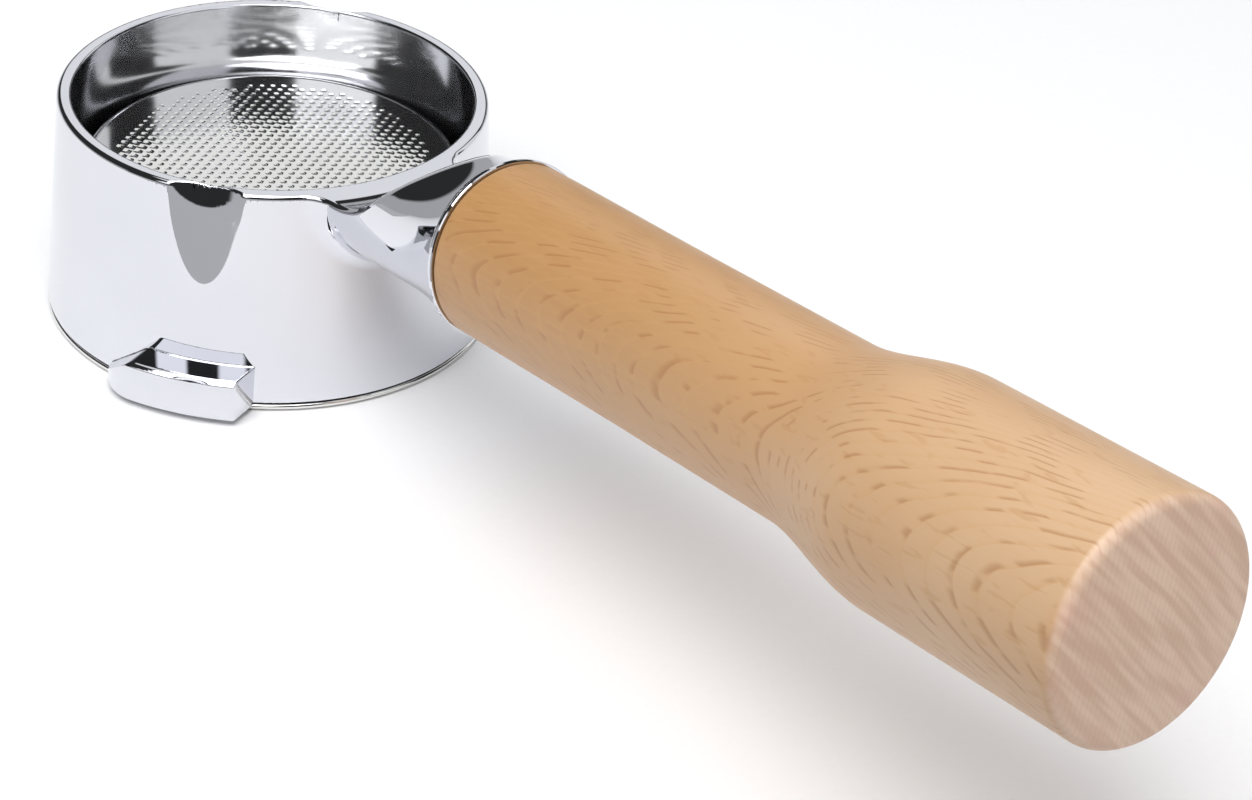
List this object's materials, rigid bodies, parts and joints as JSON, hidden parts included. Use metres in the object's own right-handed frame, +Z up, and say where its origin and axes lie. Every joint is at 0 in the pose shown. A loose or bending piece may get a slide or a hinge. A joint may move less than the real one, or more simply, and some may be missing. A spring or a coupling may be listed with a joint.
{
  "type": "portafilter",
  "caption": "Bottomless espresso portafilter: tapered ring with bayonet lugs, lift-out filter basket, cast neck and turned wooden handle.",
  "frame": {"origin": "On the surface the part stands on, under the middle of the whole part's box; the ring's axis is vertical and crosses the X axis 77 to 78 mm from the origin on the -X side.", "axes": "+X out along the handle, +Z up with the open spout side of the ring uppermost and the basket's rim below, +Y completes a right-handed frame."},
  "size_m": [0.2252, 0.0716, 0.0691],
  "materials": {
    "polished_chrome": "polished",
    "stainless_steel": "gloss",
    "spring_steel": "gloss",
    "stud_steel": "satin",
    "brass": "satin",
    "beech_wood": "satin"
  },
  "bodies": {
    "head": {"portafilter_head": "polished_chrome", "basket_spring": "spring_steel", "handle_stud": "stud_steel", "ferrule_washer": "polished_chrome", "threaded_insert": "brass", "wooden_handle": "beech_wood"},
    "basket": {"filter_basket": "stainless_steel"}
  },
  "joints": [
    {"name": "basket_slide", "type": "slide", "parent": "head", "child": "basket", "axis": [0, 0, -1], "range_m": [0, 0.03]}
  ]
}
